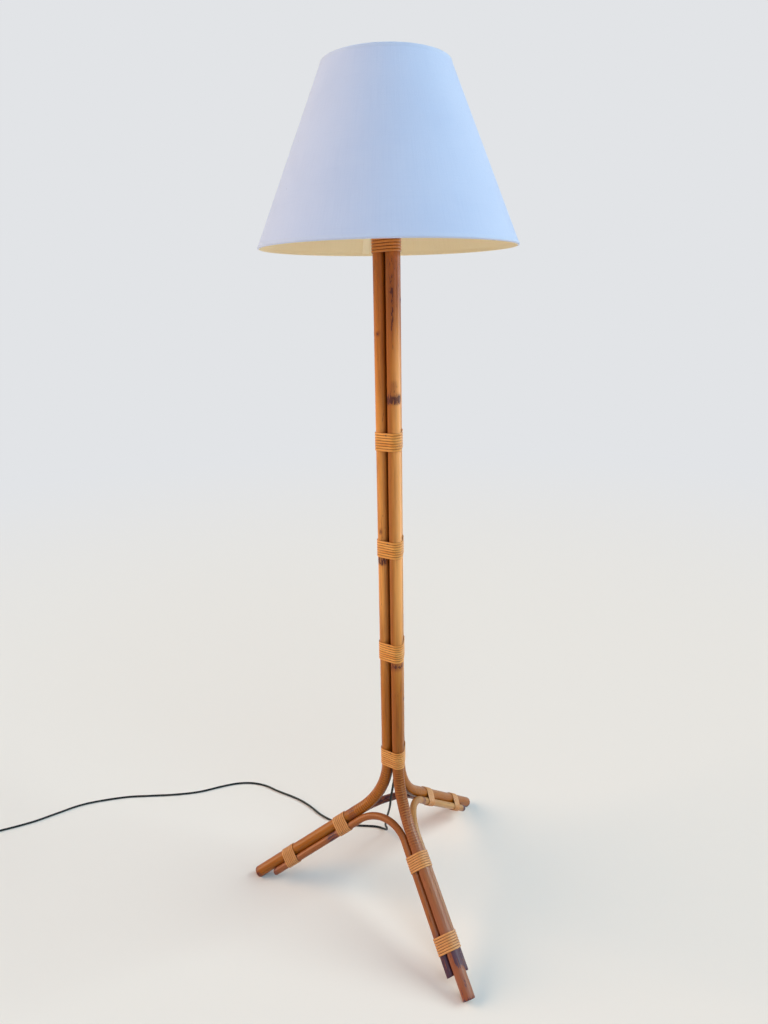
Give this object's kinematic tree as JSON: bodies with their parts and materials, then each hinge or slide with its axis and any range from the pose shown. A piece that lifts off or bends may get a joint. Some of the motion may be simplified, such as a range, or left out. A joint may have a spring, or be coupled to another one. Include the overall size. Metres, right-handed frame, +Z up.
{
  "type": "rattan floor lamp",
  "caption": "Rattan floor lamp: bound cane poles spread into three braced legs under a lined conical fabric shade that turns on its lampholder.",
  "frame": {"origin": "centre of the bounding box of the lamp without its cord, at the floor under the feet", "axes": "+Z up along the column, -Y along the front leg, +X to the right of the front leg seen from the front"},
  "size_m": [1.2613, 0.923, 1.639],
  "materials": {
    "cane": "clear-lacquered honey-orange rattan pole",
    "brace_cane": "clear-lacquered red-brown rattan rod",
    "peel": "lacquered rattan peel strip",
    "turned_wood": "stained turned hardwood",
    "brass": "plain brass",
    "steel": "nickel-plated",
    "bakelite": "black moulded, half gloss",
    "ceramic": "glazed insulating core",
    "opal_glass": "opal, unlit",
    "linen": "off-white slubbed linen on a stiff backing",
    "lining": "cream inner lining",
    "coated_wire": "white-coated steel wire",
    "flex": "black two-core flex and moulded plug"
  },
  "bodies": {
    "stand": {"pole_front": "cane", "pole_right": "cane", "pole_left": "cane", "brace_front_right": "brace_cane", "brace_right_left": "brace_cane", "brace_left_front": "brace_cane", "column_binding_1": "peel", "column_binding_2": "peel", "column_binding_3": "peel", "column_binding_4": "peel", "column_binding_5": "peel", "leg_binding_front_inner": "peel", "leg_binding_front_outer": "peel", "leg_binding_right_inner": "peel", "leg_binding_right_outer": "peel", "leg_binding_left_inner": "peel", "leg_binding_left_outer": "peel", "column_cap": "turned_wood", "cap_screw_front": "brass", "cap_screw_right": "brass", "cap_screw_left": "brass", "nipple_tube": "steel", "nipple_nut_lower": "steel", "nipple_nut_upper": "steel", "lampholder_cap": "bakelite", "lampholder_core": "ceramic", "lampholder_contact": "brass", "lampholder_sleeve": "bakelite", "ring_nut_lower": "bakelite", "ring_nut_upper": "bakelite", "bulb_cap": "steel", "bulb_glass": "opal_glass", "column_cord": "flex", "supply_cord": "flex", "cord_coil": "flex", "coil_tie": "flex", "plug_lead": "flex", "plug_body": "flex", "plug_pin_left": "steel", "plug_pin_right": "steel"},
    "shade": {"shade_cover": "linen", "shade_lining": "lining", "shade_hem_bottom": "linen", "shade_hem_top": "linen", "shade_wire_bottom": "coated_wire", "shade_spider": "coated_wire"},
    "switch": {"switch_knob": "bakelite", "switch_spindle": "steel"}
  },
  "joints": [
    {"name": "shade_turn", "type": "hinge", "parent": "stand", "child": "shade", "pos_m": [0, 0.0508, 1.4603], "axis": [0, 0, 1], "continuous": true},
    {"name": "switch_turn", "type": "hinge", "parent": "stand", "child": "switch", "pos_m": [0.03, 0.0508, 1.4389], "axis": [1, 0, 0], "continuous": true}
  ]
}
